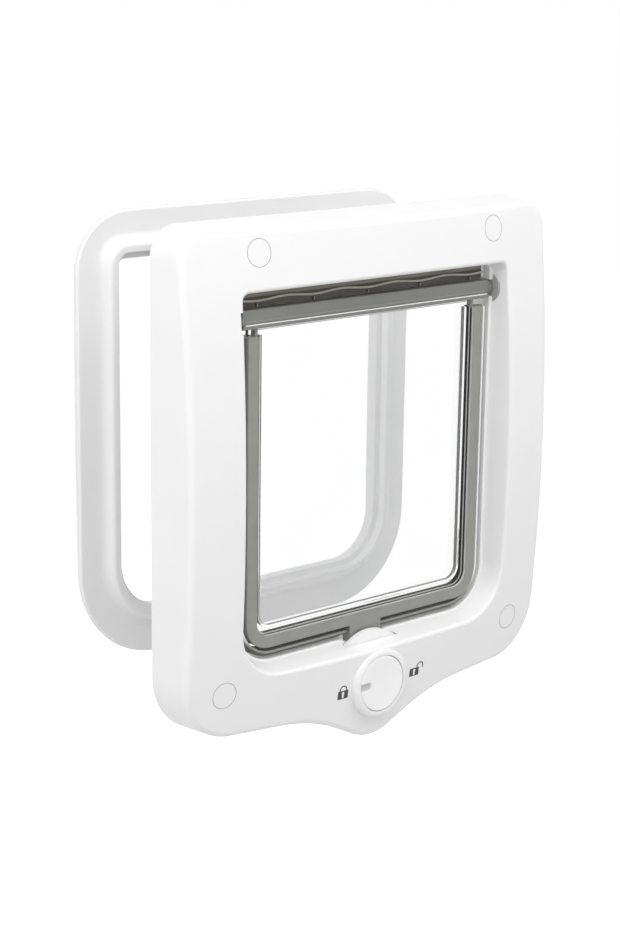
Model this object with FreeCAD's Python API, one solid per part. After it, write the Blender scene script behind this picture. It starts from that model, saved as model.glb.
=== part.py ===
import FreeCAD, Part
import math
import os

from FreeCAD import Vector

# Cat flap with a hand lock: inside frame, hanging flap, lock knob and outside frame.
# Millimetres. X runs across, Y from the room outwards, Z up.
# The origin lies on the door's inside face, midway between the two lower fixing screws.

# Inside frame, outer form
FRAME_HALF_WIDTH = 112.6
FRAME_TOP = 207.3
FRAME_DEPTH = 32.1
FRAME_WALL = 2.4
TOP_CORNER_R = 14.0
BOTTOM_CORNER_R = 30.0
FRAME_DRAFT = 0.118
BOTTOM_DRAFT = 0.068
DOME_RADIUS = 870.0
DOME_CENTRE_Z = 86.0
EDGE_ROUND = 3.0
CHIN_BOTTOM = -42.1
CHIN_RADIUS = 26.0
CHIN_SLOPE = 27.0
HOLLOW_RADIUS = 88.0
BOTTOM_EDGE_Z = -23.0
BOTTOM_EDGE_X = 80.5
BOTTOM_SLOPE = 3.3
RIB_THICKNESS = 1.6
RIB_SETBACK = 1.2
RING_RIB_OFFSET = 14.0
SIDE_RIB_SHARES = (0.2, 0.45, 0.7)
END_RIB_SHARE = 0.55

# Cat opening, measured at the first ledge
LEDGE_Y = -15.2
LEDGE_HALF_WIDTH = 78.8
OPENING_TOP = 176.6
OPENING_BOTTOM = 7.2
OPENING_TOP_R = 3.6
OPENING_BOTTOM_R = 22.5
SIDE_SLOPE = 0.246
TOP_SLOPE = 0.2
SILL_SLOPE = 0.23
LEDGE_STEP = 1.6
LEDGE_RISE = 0.8
LEDGE_DEPTH = 2.0
TAB_NOTCH_HALF = 13.0
TAB_FLOOR_GAP = 0.9
MOUTH_ROUND = 1.6

# Hinge
HINGE_Y = -12.5
HINGE_Z = 165.2
PIN_R = 2.5
PIN_CLEARANCE = 0.06
PIN_END_GAP = 0.5
PIN_SEAT = 10.0
BEARING_INSET = 0.1
BEARING_R = 7.25
BEARING_THICKNESS = 1.2
BEARING_HUB_R = 4.6
BEARING_HUB_LENGTH = 5.0
BEARING_END_WALL = 1.2
TRUNNION_R = 3.7
BAR_HEIGHT = 8.4
BAR_DEPTH = 7.6
BAR_FRONT_ROUND = 0.5
BAR_REAR_ROUND = 3.0
BAR_END_GAP = 0.3
BAR_GROOVE = 0.6
BAR_GROOVE_DROP = 6.1
BAR_BEAD = 0.7
BAR_BEAD_ROUND = 0.42
BAR_ROOT = 1.5
BAR_NOTCH_X = 82.7
BAR_NOTCH_BELOW = 4.4
BAR_NOTCH_ABOVE = 5.2

# Flap
FLAP_GAP = 3.6
FLAP_DEPTH = 7.8
FLAP_PROUD = 0.1
BAND_WIDTH = 5.9
BAND_BOTTOM_WIDTH = 5.8
FLAP_BOTTOM = 14.0
FLAP_CORNER_R = 13.0
BAND_INNER_R = 7.5
BAND_EDGE_ROUND = 0.4
BAND_TOP_GAP = 3.6
BAND_TOP_R = 0.6
REAR_GROOVE_WIDTH = 1.4
REAR_GROOVE_DEPTH = 1.2
REAR_GROOVE_WALL = 1.0
TAB_HALF = 9.7
TAB_DROP = 8.2
TAB_DEPTH = 5.0
TAB_ROUND = 0.8
PANE_THICKNESS = 2.0
PANE_FRONT_DEPTH = 4.7
PANE_OVERLAP = 2.4
PANE_FIT = 0.1
PANE_TOP_GAP = 0.6
PANE_TOP_R = 1.0
RIM_HEIGHT = 2.0
RIM_WIDTH = 1.3
RIM_OFFSET = 2.5
CLIP_LENGTH = 5.0
CLIP_WIDTH = 1.2
CLIP_PITCH = 33.0
CLIP_START = 39.6
CLIP_COUNT = 4
TONGUE_INSET = 0.5
TONGUE_WIDTH = 1.5
TONGUE_DEPTH = 2.8
TONGUE_ROOT = 1.0

# Seals
SEAL_THICKNESS = 2.6
SEAL_FLAP_GAP = 0.6
SEAL_TOP_Z = 157.0
SEAL_BEAD = 0.9
SEAL_BEAD_ROUND = 0.3
SEAL_SETBACK = 0.6
SEAL_TOP_R = 0.6
STRIP_THICKNESS = 1.2
STRIP_Y = -13.0
STRIP_END_GAP = 2.0
STRIP_LIP_Z = 172.8
STRIP_LIP_HEIGHT = 0.8
STRIP_LIP_DEPTH = 1.0
STRIP_WAVE = 0.7
STRIP_PITCH = 32.6
PEG_WIDTH = 0.7
PEG_TOP = 171.4
PEG_REACH = 0.8
PEG_GAP = 0.1
PEG_ROOT = 0.5
HEADER_LIP_Y = -9.2
HEADER_LIP_THICKNESS = 1.0
HEADER_LIP_DROP = 1.4
BAR_SWING_GAP = 0.35

# Lock
KNOB_Z = -13.0
KNOB_R = 13.4
KNOB_FRONT_Y = -29.2
KNOB_GAP = 0.3
KNOB_RECESS = 2.4
KNOB_PAD = 2.8
KNOB_ROUND = 0.6
KNOB_DISH_DEPTH = 0.5
KNOB_DISH_R = 11.6
GRIP_START = 6.6
GRIP_WIDTH = 4.4
GRIP_DEPTH = 1.8
GRIP_CORNER = 1.4
BOSS_R = 16.8
BOSS_ROUND = 2.3
SPINDLE_R = 4.2
SPINDLE_FLAT = 3.2
RUNNING_GAP = 0.07
DISC_R = 24.2
DISC_THICKNESS = 2.6
DISC_FRONT_Y = -20.5
DISC_SLOT_GAP = 0.5
DISC_EDGE_GAP = 1.0
WASHER_R = 6.0
WASHER_THICKNESS = 1.0
LOCK_SCREW_R = 1.5
LOCK_SCREW_LENGTH = 8.0
LOCK_SCREW_HEAD_R = 2.9
LOCK_SCREW_HEAD = 2.2
LOCK_SCREW_ROUND = 0.7
LOCK_SCREW_SLOT = 0.8
LOCK_SCREW_SLOT_DEPTH = 0.9
MAGNET_R = 2.0
MAGNET_THICKNESS = 3.0
MAGNET_SKIN = 0.6
MAGNET_SINK = 0.6
MAGNET_COVER = 1.0

# Fixing screws and their caps
LOWER_SCREW_X = 90.0
UPPER_SCREW_X = 71.3
UPPER_SCREW_Z = 195.0
SCREW_R = 2.0
SCREW_NECK_R = 1.75
SCREW_HOLE_R = 2.25
SCREW_LENGTH = 40.0
SCREW_HEAD_R = 3.8
SCREW_HEAD = 2.6
SCREW_SEAT_Y = -13.0
SCREW_HEAD_ROUND = 1.56
SCREW_TIP_R = 0.5
DRIVE_LENGTH = 3.6
DRIVE_WIDTH = 0.9
DRIVE_FLOOR = 0.9
CAP_R = 6.0
CAP_GAP = 0.15
CAP_THICKNESS = 1.8
CAP_SKIRT = 0.9
CAP_LENGTH = 5.0
SCREW_BOSS_WALL = 2.0

# Outside frame
DOOR_THICKNESS = 68.0
REAR_HALF_WIDTH = 102.75
REAR_TOP = 205.0
REAR_BOTTOM = -10.0
REAR_TOP_R = 28.3
REAR_BOTTOM_R = 46.0
REAR_EDGE = 3.0
REAR_RISE = 3.0
REAR_EDGE_ROUND = 1.8
REAR_OPENING_HALF = 83.8
REAR_OPENING_TOP = 186.1
REAR_OPENING_BOTTOM = 10.5
REAR_OPENING_TOP_R = 6.0
REAR_OPENING_BOTTOM_R = 27.5
COLLAR_WALL = 4.3
COLLAR_HEIGHT = 5.7
COLLAR_ROUND = 2.0
COLLAR_ROOT_R = 4.0
REAR_RIM_ROUND = 1.2
LIP_WIDTH = 3.5
LIP_Y = 1.0

# How far a cutting shape runs past a face, and how near an edge counts as lying on a plane
BEYOND = 8.0
PAST = 1.0
NEAR = 0.1

ALONG_X = Vector(1, 0, 0)
ALONG_Y = Vector(0, 1, 0)


def at(x, y, z):
    return Vector(x, y, z)


def arc_wire(arcs, y):
    """Closed wire at depth y from arcs (centre x, centre z, radius, start, end) joined by lines."""
    edges = []
    ends = []
    for cx, cz, radius, start, end in arcs:
        points = []
        for angle in (start, (start + end) / 2, end):
            turn = math.radians(angle)
            points.append(at(cx + radius * math.cos(turn), y, cz + radius * math.sin(turn)))
        ends.append((points[0], points[2]))
        edges.append(Part.Arc(*points).toShape())
    joined = []
    for index, edge in enumerate(edges):
        joined.append(edge)
        here = ends[index][1]
        following = ends[(index + 1) % len(ends)][0]
        if here.distanceToPoint(following) > 1e-6:
            joined.append(Part.LineSegment(here, following).toShape())
    return Part.Wire(joined)


def mirrored(arcs):
    return [(-cx, cz, radius, 180 - end, 180 - start) for cx, cz, radius, start, end in reversed(arcs)]


def rectangle(half_width, bottom, top, bottom_r, top_r, y):
    """Rectangle with round corners, centred on x = 0."""
    right = [
        (half_width - top_r, top - top_r, top_r, 90, 0),
        (half_width - bottom_r, bottom + bottom_r, bottom_r, 0, -90),
    ]
    return arc_wire(right + mirrored(right), y)


def prism(wire, depth):
    return Part.Face(wire).extrude(at(0, depth, 0))


def taper(first, second):
    return Part.makeLoft([first, second], True, True)


def box(x0, x1, y0, y1, z0, z1):
    return Part.makeBox(x1 - x0, y1 - y0, z1 - z0, at(x0, y0, z0))


def rod(radius, length, x, y, z, direction=ALONG_Y):
    return Part.makeCylinder(radius, length, at(x, y, z), direction)


def fused(shapes):
    return shapes[0].multiFuse(shapes[1:]).removeSplitter() if len(shapes) > 1 else shapes[0]


def flipped(shape):
    return shape.mirror(at(0, 0, 0), ALONG_X)


def frame_outline(inset, y):
    """Outer line of the inside frame: rounded corners, an ogee each side and a round chin."""
    sink = (FRAME_DRAFT - BOTTOM_DRAFT) * -y
    slope = math.radians(BOTTOM_SLOPE)
    chin = math.radians(CHIN_SLOPE)
    edge_normal = (math.sin(slope), -math.cos(slope))
    chin_normal = (math.sin(chin), -math.cos(chin))
    chin_z = CHIN_BOTTOM + CHIN_RADIUS - sink
    edge_reach = edge_normal[0] * BOTTOM_EDGE_X + edge_normal[1] * (BOTTOM_EDGE_Z - sink)
    chin_reach = chin_normal[1] * chin_z + CHIN_RADIUS
    corner_x = FRAME_HALF_WIDTH - BOTTOM_CORNER_R
    corner_z = (edge_reach - BOTTOM_CORNER_R - edge_normal[0] * corner_x) / edge_normal[1]
    first = edge_reach + HOLLOW_RADIUS
    second = chin_reach + HOLLOW_RADIUS
    spread = edge_normal[0] * chin_normal[1] - edge_normal[1] * chin_normal[0]
    hollow_x = (first * chin_normal[1] - second * edge_normal[1]) / spread
    hollow_z = (edge_normal[0] * second - chin_normal[0] * first) / spread
    top_x = FRAME_HALF_WIDTH - TOP_CORNER_R
    top_z = FRAME_TOP - TOP_CORNER_R
    right = [
        (top_x, top_z, TOP_CORNER_R - inset, 90, 0),
        (corner_x, corner_z, BOTTOM_CORNER_R - inset, 0, BOTTOM_SLOPE - 90),
        (hollow_x, hollow_z, HOLLOW_RADIUS + inset, BOTTOM_SLOPE + 90, CHIN_SLOPE + 90),
    ]
    tip = [(0, chin_z, CHIN_RADIUS - inset, CHIN_SLOPE - 90, -CHIN_SLOPE - 90)]
    return arc_wire(right + tip + mirrored(right), y)


def dome(inset):
    centre = at(0, DOME_RADIUS - FRAME_DEPTH, DOME_CENTRE_Z)
    return Part.makeSphere(DOME_RADIUS - inset, centre)


def face_y(x, z):
    """Depth of the domed face at a place."""
    reach = DOME_RADIUS ** 2 - x ** 2 - (z - DOME_CENTRE_Z) ** 2
    return DOME_RADIUS - FRAME_DEPTH - math.sqrt(reach)


FRONT_Y = -FRAME_DEPTH - BEYOND


def frame_solid(inset):
    start = frame_outline(inset - FRAME_DRAFT * BEYOND, BEYOND)
    end = frame_outline(inset - FRAME_DRAFT * FRONT_Y, FRONT_Y)
    return taper(start, end).common(dome(inset))


def outer_shell():
    """Solid form of the inside frame with its rim and the crease of its mouth rounded."""
    reach = FRAME_HALF_WIDTH + BEYOND
    room = box(-reach, reach, FRONT_Y, 0, CHIN_BOTTOM - BEYOND, FRAME_TOP + BEYOND)
    body = frame_solid(0).common(room)
    rim = [edge for edge in body.Edges if edge.BoundBox.YMax < -FRAME_DEPTH / 3]
    body = body.makeFillet(EDGE_ROUND, rim).cut(mouth_cut(0))
    crease = [edge for edge in body.Edges if on_crease(edge.BoundBox)]
    return body.makeFillet(MOUTH_ROUND, crease)


def on_crease(bounds):
    inside = max(bounds.XMax, -bounds.XMin) < (LEDGE_HALF_WIDTH + FRAME_HALF_WIDTH) / 2
    return inside and bounds.YMax < LEDGE_Y - LEDGE_DEPTH and bounds.ZMin > KNOB_Z


def opening_section(y, grow):
    """Rounded section of the cat opening in front of the first ledge."""
    ahead = LEDGE_Y - y
    return rectangle(
        LEDGE_HALF_WIDTH + SIDE_SLOPE * ahead + grow,
        OPENING_BOTTOM - SILL_SLOPE * ahead - grow,
        OPENING_TOP + TOP_SLOPE * ahead + grow,
        OPENING_BOTTOM_R + grow,
        OPENING_TOP_R + grow,
        y,
    )


def mouth_cut(grow):
    return taper(opening_section(FRONT_Y, grow), opening_section(LEDGE_Y, grow))


def opening_cut():
    """The two ledges behind the mouth and the way through to the door."""
    cuts = []
    for step in (1, 2):
        start = LEDGE_Y + LEDGE_DEPTH * (step - 1)
        section = rectangle(
            LEDGE_HALF_WIDTH - LEDGE_STEP * step,
            OPENING_BOTTOM + LEDGE_RISE * step,
            OPENING_TOP,
            OPENING_BOTTOM_R - LEDGE_STEP * step,
            OPENING_TOP_R - LEDGE_STEP * step / 2,
            start,
        )
        cuts.append(prism(section, BEYOND - start))
    notch = box(-TAB_NOTCH_HALF, TAB_NOTCH_HALF, disc_back(), BEYOND, sill_floor(), OPENING_TOP / 2)
    return fused(cuts + [notch])


def sill_floor():
    """Height of the notch under the flap's tab."""
    return FLAP_BOTTOM - TAB_DROP - TAB_FLOOR_GAP


def tunnel_block():
    front = mouth_cut(FRAME_WALL)
    back = prism(opening_section(LEDGE_Y, FRAME_WALL), BEYOND - LEDGE_Y)
    pad = box(
        -TAB_NOTCH_HALF - FRAME_WALL, TAB_NOTCH_HALF + FRAME_WALL,
        LEDGE_Y - LEDGE_DEPTH, BEYOND,
        magnet_pocket_bottom(), OPENING_BOTTOM + FRAME_WALL,
    )
    return fused([front, back, pad])


def screw_places():
    places = []
    for x, z in ((LOWER_SCREW_X, 0), (UPPER_SCREW_X, UPPER_SCREW_Z)):
        places.append((-x, z))
        places.append((x, z))
    return places


def screw_bosses():
    radius = CAP_R + CAP_GAP + SCREW_BOSS_WALL
    return [rod(radius, BEYOND - FRONT_Y, x, FRONT_Y, z) for x, z in screw_places()]


def bearing_bosses():
    boss_r = BEARING_HUB_R + FRAME_WALL
    start = LEDGE_HALF_WIDTH
    length = FRAME_HALF_WIDTH - LEDGE_HALF_WIDTH
    boss = rod(boss_r, length, start, HINGE_Y, HINGE_Z, ALONG_X)
    shelf = box(start, start + length, HINGE_Y, BEYOND, HINGE_Z - boss_r, HINGE_Z + boss_r)
    collar = rod(BEARING_R + FRAME_WALL, BEARING_THICKNESS + FRAME_WALL, start, HINGE_Y, HINGE_Z, ALONG_X)
    half = fused([boss, shelf, collar])
    return [half, flipped(half)]


def ribs():
    """Stiffening ribs between the outer wall and the tunnel wall."""
    half = RIB_THICKNESS / 2
    end = -RIB_SETBACK
    made = []
    for share in SIDE_RIB_SHARES:
        z = OPENING_BOTTOM + (OPENING_TOP - OPENING_BOTTOM) * share
        made.append(box(LEDGE_HALF_WIDTH, FRAME_HALF_WIDTH, FRONT_Y, end, z - half, z + half))
    for share in (0, END_RIB_SHARE):
        x = LEDGE_HALF_WIDTH * share
        made.append(box(x - half, x + half, FRONT_Y, end, OPENING_TOP, FRAME_TOP))
    x = LEDGE_HALF_WIDTH * END_RIB_SHARE
    made.append(box(x - half, x + half, FRONT_Y, end, CHIN_BOTTOM, OPENING_BOTTOM))
    return made + [flipped(rib) for rib in made] + [ring_rib()]


def ring_rib():
    """Rib all round the tunnel, left out where the lock disc turns."""
    wall = RIB_THICKNESS
    outer = prism(opening_section(LEDGE_Y, RING_RIB_OFFSET + wall), -RIB_SETBACK - LEDGE_Y)
    inner = prism(opening_section(LEDGE_Y, RING_RIB_OFFSET), -RIB_SETBACK - LEDGE_Y)
    ring = outer.cut(inner)
    free = DISC_R + FRAME_WALL
    return ring.cut(box(-free, free, LEDGE_Y, 0, CHIN_BOTTOM, OPENING_BOTTOM))


def knob_pad():
    radius = KNOB_R + KNOB_GAP + FRAME_WALL
    return rod(radius, pad_back() - KNOB_FRONT_Y, 0, KNOB_FRONT_Y, KNOB_Z)


def recess_floor():
    """Depth of the floor of the round recess that the knob turns in."""
    return face_y(0, KNOB_Z) + KNOB_RECESS


def knob_boss():
    """Flat-fronted swelling of the face that the knob sits flush in."""
    swelling = rod(BOSS_R, BEYOND, 0, KNOB_FRONT_Y, KNOB_Z)
    front = [edge for edge in swelling.Edges if edge.BoundBox.YMax < KNOB_FRONT_Y + NEAR]
    return swelling.makeFillet(BOSS_ROUND, front).cut(mouth_cut(MOUTH_ROUND / 2))


def front_frame():
    hollow = frame_solid(FRAME_WALL).cut(tunnel_block())
    solids = screw_bosses() + bearing_bosses() + ribs() + [knob_pad()]
    hollow = hollow.cut(solids)
    body = outer_shell().fuse(knob_boss()).cut(hollow)
    body = body.cut([opening_cut()] + frame_cuts())
    return body.removeSplitter()


def frame_cuts():
    """Screw holes, bearing seats, knob hole, slot for the lock disc and magnet pocket."""
    cuts = []
    for x, z in screw_places():
        cuts.append(rod(CAP_R + CAP_GAP, SCREW_SEAT_Y - FRONT_Y, x, FRONT_Y, z))
        cuts.append(rod(SCREW_HOLE_R, BEYOND - FRONT_Y, x, FRONT_Y, z))
    seat_x = bearing_x()
    seat = rod(BEARING_R + CAP_GAP, BEARING_THICKNESS + CAP_GAP, seat_x, HINGE_Y, HINGE_Z, ALONG_X)
    hub = rod(BEARING_HUB_R, BEARING_THICKNESS + BEARING_HUB_LENGTH, seat_x, HINGE_Y, HINGE_Z, ALONG_X)
    way = TRUNNION_R + BAR_END_GAP
    slot = fused([
        rod(way, seat_x - LEDGE_HALF_WIDTH / 2, LEDGE_HALF_WIDTH / 2, HINGE_Y, HINGE_Z, ALONG_X),
        box(LEDGE_HALF_WIDTH / 2, seat_x, FRONT_Y, HINGE_Y, HINGE_Z - way, HINGE_Z + way),
    ])
    for cut in (seat, hub, slot):
        cuts.append(cut)
        cuts.append(flipped(cut))
    cuts.append(bar_notch())
    cuts.append(rod(KNOB_R + KNOB_GAP, recess_floor() - FRONT_Y, 0, FRONT_Y, KNOB_Z))
    cuts.append(rod(SPINDLE_R + RUNNING_GAP, BEYOND - FRONT_Y, 0, FRONT_Y, KNOB_Z))
    cuts.append(disc_slot())
    place = at(0, tab_middle(), magnet_pocket_bottom())
    cuts.append(Part.makeCylinder(MAGNET_R, MAGNET_THICKNESS + MAGNET_SINK, place))
    return cuts


def magnet_pocket_bottom():
    """Height of the open lower end of the pocket for the frame's magnet."""
    return sill_floor() - MAGNET_SKIN - MAGNET_THICKNESS - MAGNET_SINK


def bar_notch():
    """Notch in the mouth's left side, where the bar's end goes in when the flap is hung."""
    end = HINGE_Y - BEARING_R - 2 * CAP_GAP
    bottom = HINGE_Z - BAR_NOTCH_BELOW
    return box(-BAR_NOTCH_X, -LEDGE_HALF_WIDTH, FRONT_Y, end, bottom, HINGE_Z + BAR_NOTCH_ABOVE)


def disc_slot():
    """Round slot that the lock disc turns in, open through the sill."""
    depth = DISC_THICKNESS + 2 * DISC_SLOT_GAP
    return rod(DISC_R + DISC_EDGE_GAP, depth, 0, DISC_FRONT_Y - DISC_SLOT_GAP, KNOB_Z)


def bearing_x():
    """Inner face of the bearing discs."""
    return LEDGE_HALF_WIDTH + BEARING_INSET


def bearing():
    x = bearing_x()
    disc = rod(BEARING_R, BEARING_THICKNESS, x, HINGE_Y, HINGE_Z, ALONG_X)
    hub = rod(BEARING_HUB_R, BEARING_THICKNESS + BEARING_HUB_LENGTH, x, HINGE_Y, HINGE_Z, ALONG_X)
    depth = BEARING_THICKNESS + BEARING_HUB_LENGTH - BEARING_END_WALL
    bore = rod(PIN_R + PIN_CLEARANCE, depth, x, HINGE_Y, HINGE_Z, ALONG_X)
    return disc.fuse(hub).cut(bore).removeSplitter()


def bar_half_length():
    return LEDGE_HALF_WIDTH - 2 * LEDGE_STEP - BAR_END_GAP


def pin_reach():
    """Where the pin stops short of the blind end of its bearing."""
    return bearing_x() + BEARING_THICKNESS + BEARING_HUB_LENGTH - BEARING_END_WALL - PIN_END_GAP


def pin_root():
    return bar_half_length() - PIN_SEAT


def hinge_pin():
    return rod(PIN_R, pin_reach() - pin_root(), pin_root(), HINGE_Y, HINGE_Z, ALONG_X)


def hinge_bar():
    """Bar that the pane hangs from: flat front, grooved, with a bead at its foot and trunnions."""
    half = bar_half_length()
    front = HINGE_Y - BAR_DEPTH / 2
    foot = HINGE_Z - BAR_HEIGHT / 2
    body = box(-half, half, front, HINGE_Y + BAR_DEPTH / 2, foot, HINGE_Z + BAR_HEIGHT / 2)
    long_edges = [edge for edge in body.Edges if edge.BoundBox.XLength > half]
    body = body.makeFillet(BAR_FRONT_ROUND, [edge for edge in long_edges if edge.BoundBox.YMax < HINGE_Y])
    long_edges = [edge for edge in body.Edges if edge.BoundBox.XLength > half]
    body = body.makeFillet(BAR_REAR_ROUND, [
        edge for edge in long_edges if edge.BoundBox.YMin > HINGE_Y + BAR_DEPTH / 2 - NEAR
    ])
    groove_top = HINGE_Z + BAR_HEIGHT / 2 - BAR_GROOVE_DROP
    bead = box(-half, half, front - BAR_BEAD, front + BAR_ROOT, foot, groove_top - BAR_GROOVE)
    bead = bead.makeFillet(BAR_BEAD_ROUND, [
        edge for edge in bead.Edges
        if edge.BoundBox.XLength > half and edge.BoundBox.YMax < front
    ])
    end = bearing_x() - BAR_END_GAP
    trunnion = rod(TRUNNION_R, 2 * end, -end, HINGE_Y, HINGE_Z, ALONG_X)
    body = body.fuse([bead, trunnion])
    groove = box(-half, half, front - BAR_BEAD, front + BAR_GROOVE, groove_top - BAR_GROOVE, groove_top)
    pane_slot = box(
        -pane_half_width() - PANE_FIT, pane_half_width() + PANE_FIT,
        pane_front() - PANE_FIT, pane_front() + PANE_THICKNESS + PANE_FIT,
        HINGE_Z - BAR_HEIGHT, pane_top() + PANE_FIT,
    )
    pin_hole = rod(PIN_R, end, pin_root(), HINGE_Y, HINGE_Z, ALONG_X)
    return body.cut([groove, pane_slot, pin_hole, flipped(pin_hole)]).removeSplitter()


def flap_half_width():
    return LEDGE_HALF_WIDTH - 2 * LEDGE_STEP - FLAP_GAP


def flap_front():
    return HINGE_Y - FLAP_DEPTH / 2 - FLAP_PROUD


def pane_front():
    return flap_front() + PANE_FRONT_DEPTH


def pane_half_width():
    return flap_half_width() - BAND_WIDTH + PANE_OVERLAP


def pane_top():
    return HINGE_Z - PIN_R - PANE_TOP_GAP


def band_top():
    return HINGE_Z - BAR_HEIGHT / 2 - BAND_TOP_GAP


def pane_plate(grow):
    """Flat of the pane, whose edges run in the band's groove."""
    half = pane_half_width() + grow
    bottom = FLAP_BOTTOM + BAND_BOTTOM_WIDTH - PANE_OVERLAP - grow
    corner = BAND_INNER_R + PANE_OVERLAP
    wire = rectangle(half, bottom, pane_top(), corner, PANE_TOP_R, pane_front() - grow)
    return prism(wire, PANE_THICKNESS + 2 * grow)


def tab_middle():
    return flap_front() + TAB_DEPTH / 2


def flap_border():
    """Band round three sides of the flap, with the lock tab at its foot."""
    front = flap_front()
    half = flap_half_width()
    top = band_top()
    outer = rectangle(half, FLAP_BOTTOM, top, FLAP_CORNER_R, BAND_TOP_R, front)
    inner = rectangle(
        half - BAND_WIDTH, FLAP_BOTTOM + BAND_BOTTOM_WIDTH, HINGE_Z + BEYOND,
        BAND_INNER_R, BAND_TOP_R, front - PAST,
    )
    band = prism(outer, FLAP_DEPTH).cut(prism(inner, FLAP_DEPTH + 2 * PAST))
    band = band.makeFillet(
        BAND_EDGE_ROUND,
        [edge for edge in band.Edges if edge.BoundBox.YMax < front + NEAR],
    )
    tab = box(-TAB_HALF, TAB_HALF, front, front + TAB_DEPTH, FLAP_BOTTOM - TAB_DROP, FLAP_BOTTOM + PAST)
    corners = [
        edge for edge in tab.Edges
        if edge.BoundBox.YLength > TAB_DEPTH / 2 and edge.BoundBox.ZMax < FLAP_BOTTOM
    ]
    tab = tab.makeFillet(TAB_ROUND, corners)
    tongue_x = half - BAND_WIDTH - TONGUE_INSET
    tongue_y = pane_front() - PANE_FIT - TONGUE_DEPTH
    tongue = box(
        tongue_x, tongue_x + TONGUE_WIDTH, tongue_y, tongue_y + TONGUE_DEPTH,
        top - TONGUE_ROOT, HINGE_Z - BAR_HEIGHT / 2,
    )
    groove_line = rectangle(
        half - BAND_WIDTH + REAR_GROOVE_WIDTH,
        FLAP_BOTTOM + BAND_BOTTOM_WIDTH - REAR_GROOVE_WIDTH,
        HINGE_Z + BEYOND,
        BAND_INNER_R + REAR_GROOVE_WIDTH,
        BAND_TOP_R,
        pane_front() + PANE_THICKNESS + REAR_GROOVE_WALL,
    )
    rear_groove = prism(groove_line, REAR_GROOVE_DEPTH)
    body = band.fuse([tab, tongue, flipped(tongue)])
    return body.cut([pane_plate(PANE_FIT), flap_magnet(), rear_groove]).removeSplitter()


def flap_pane():
    """Clear pane with a raised rim line and snap lugs along the band."""
    plate = pane_plate(0)
    half = flap_half_width() - BAND_WIDTH - RIM_OFFSET
    bottom = FLAP_BOTTOM + BAND_BOTTOM_WIDTH + RIM_OFFSET
    y = pane_front() - RIM_HEIGHT
    outer = rectangle(half, bottom, band_top(), BAND_INNER_R, BAND_TOP_R, y)
    inner = rectangle(
        half - RIM_WIDTH, bottom + RIM_WIDTH, HINGE_Z + BEYOND,
        BAND_INNER_R - RIM_WIDTH, BAND_TOP_R, y - PAST,
    )
    rim = prism(outer, RIM_HEIGHT).cut(prism(inner, RIM_HEIGHT + 2 * PAST))
    lugs = []
    lug_x = flap_half_width() - BAND_WIDTH - PANE_FIT
    for index in range(CLIP_COUNT):
        z = FLAP_BOTTOM + CLIP_START + CLIP_PITCH * index
        lug = box(lug_x - CLIP_WIDTH, lug_x, y, pane_front(), z - CLIP_LENGTH / 2, z + CLIP_LENGTH / 2)
        lugs.append(lug)
        lugs.append(flipped(lug))
    return fused([plate, rim] + lugs)


def flap_magnet():
    z = FLAP_BOTTOM - TAB_DROP + MAGNET_COVER
    return Part.makeCylinder(MAGNET_R, MAGNET_THICKNESS, at(0, tab_middle(), z))


def frame_magnet():
    place = at(0, tab_middle(), magnet_pocket_bottom() + MAGNET_SINK)
    return Part.makeCylinder(MAGNET_R, MAGNET_THICKNESS, place)


def seal_strip():
    """Soft strip in the second ledge, down one side of the flap and along to the tab."""
    y = LEDGE_Y + LEDGE_DEPTH + SEAL_SETBACK
    wall = LEDGE_HALF_WIDTH - 2 * LEDGE_STEP
    floor = OPENING_BOTTOM + 2 * LEDGE_RISE
    corner = OPENING_BOTTOM_R - 2 * LEDGE_STEP
    outer = rectangle(wall, floor, SEAL_TOP_Z, corner, SEAL_TOP_R, y)
    gap = SEAL_FLAP_GAP
    inner = rectangle(
        flap_half_width() + gap, FLAP_BOTTOM - gap, HINGE_Z + BEYOND,
        FLAP_CORNER_R + gap, SEAL_TOP_R, y - PAST,
    )
    ring = prism(outer, SEAL_THICKNESS).cut(prism(inner, SEAL_THICKNESS + 2 * PAST))
    bead_outer = rectangle(
        wall - SEAL_BEAD, floor + SEAL_BEAD, SEAL_TOP_Z,
        corner - SEAL_BEAD, SEAL_TOP_R, y - SEAL_BEAD,
    )
    bead_inner = rectangle(
        wall - 2 * SEAL_BEAD, floor + 2 * SEAL_BEAD, HINGE_Z + BEYOND,
        corner - 2 * SEAL_BEAD, SEAL_TOP_R, y - 2 * SEAL_BEAD,
    )
    bead = prism(bead_outer, 2 * SEAL_BEAD).cut(prism(bead_inner, 4 * SEAL_BEAD))
    front = [edge for edge in bead.Edges if edge.BoundBox.YMax < y - SEAL_BEAD / 2]
    bead = bead.makeFillet(SEAL_BEAD_ROUND, front)
    half = box(TAB_NOTCH_HALF, wall + PAST, y - PAST, y + SEAL_THICKNESS + PAST, 0, HINGE_Z)
    return ring.fuse(bead).common(half).removeSplitter()


def strip_bottom():
    """Lower edge of the draught strip, clear of the bar as it turns."""
    reach = math.hypot(BAR_DEPTH / 2 - BAR_REAR_ROUND, BAR_HEIGHT / 2 - BAR_REAR_ROUND) + BAR_REAR_ROUND
    return HINGE_Z + reach + BAR_SWING_GAP


def strip_half_width():
    return LEDGE_HALF_WIDTH - 2 * LEDGE_STEP - STRIP_END_GAP


def peg_places():
    """As many pegs, one pitch apart, as the strip is wide enough for."""
    count = int((strip_half_width() - PEG_WIDTH) // STRIP_PITCH)
    return [STRIP_PITCH * index for index in range(-count, count + 1)]


def pegs(gap, past):
    """Small pegs of the header that the strip hangs on, or the slots that they need in it."""
    half = PEG_WIDTH / 2 + gap
    front = STRIP_Y - PEG_REACH - past
    back = STRIP_Y + STRIP_THICKNESS + PEG_ROOT
    bottom = strip_bottom() - past
    return [box(x - half, x + half, front, back, bottom, PEG_TOP + gap) for x in peg_places()]


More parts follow.
